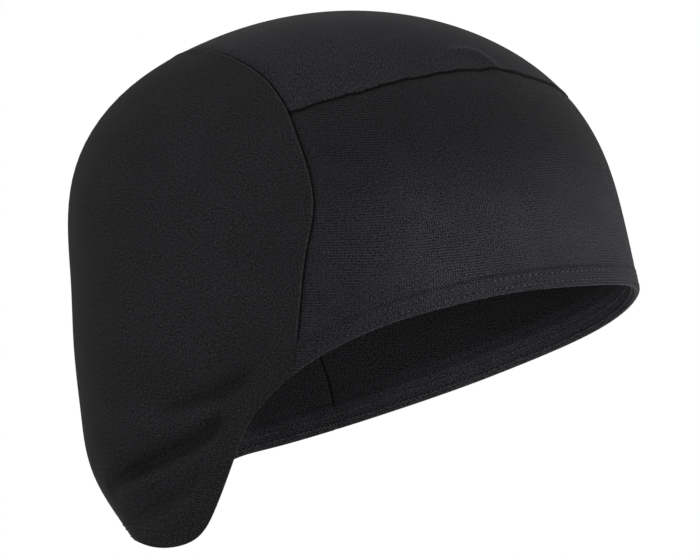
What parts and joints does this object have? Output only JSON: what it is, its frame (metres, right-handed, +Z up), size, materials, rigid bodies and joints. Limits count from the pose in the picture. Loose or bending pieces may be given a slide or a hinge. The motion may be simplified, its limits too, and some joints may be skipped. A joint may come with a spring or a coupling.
{
  "type": "stretch cloth skull cap with ear and nape cover",
  "caption": "Close-fitting head cap of thin stretch cloth, sewn from a rear, a top and a front panel, with a stitched hem, ear cover and a nape flap; open below.",
  "frame": {"origin": "inside face of the crown's top, where the cap sits on the head", "axes": "+Z up through the crown, the face looks towards -Y, the wearer's left is +X; the cap stands in the attitude of the picture, tipped back a little"},
  "size_m": [0.155, 0.2042, 0.1958],
  "materials": {
    "rear_cloth": "smooth brushed stretch knit, matt black with fine pale lint",
    "top_cloth": "smooth brushed stretch knit, matt black",
    "front_cloth": "finely ribbed stretch knit with a faint sheen, black"
  },
  "bodies": {
    "root": {"rear_panel": "rear_cloth", "top_panel": "top_cloth", "front_panel": "front_cloth"}
  },
  "joints": []
}
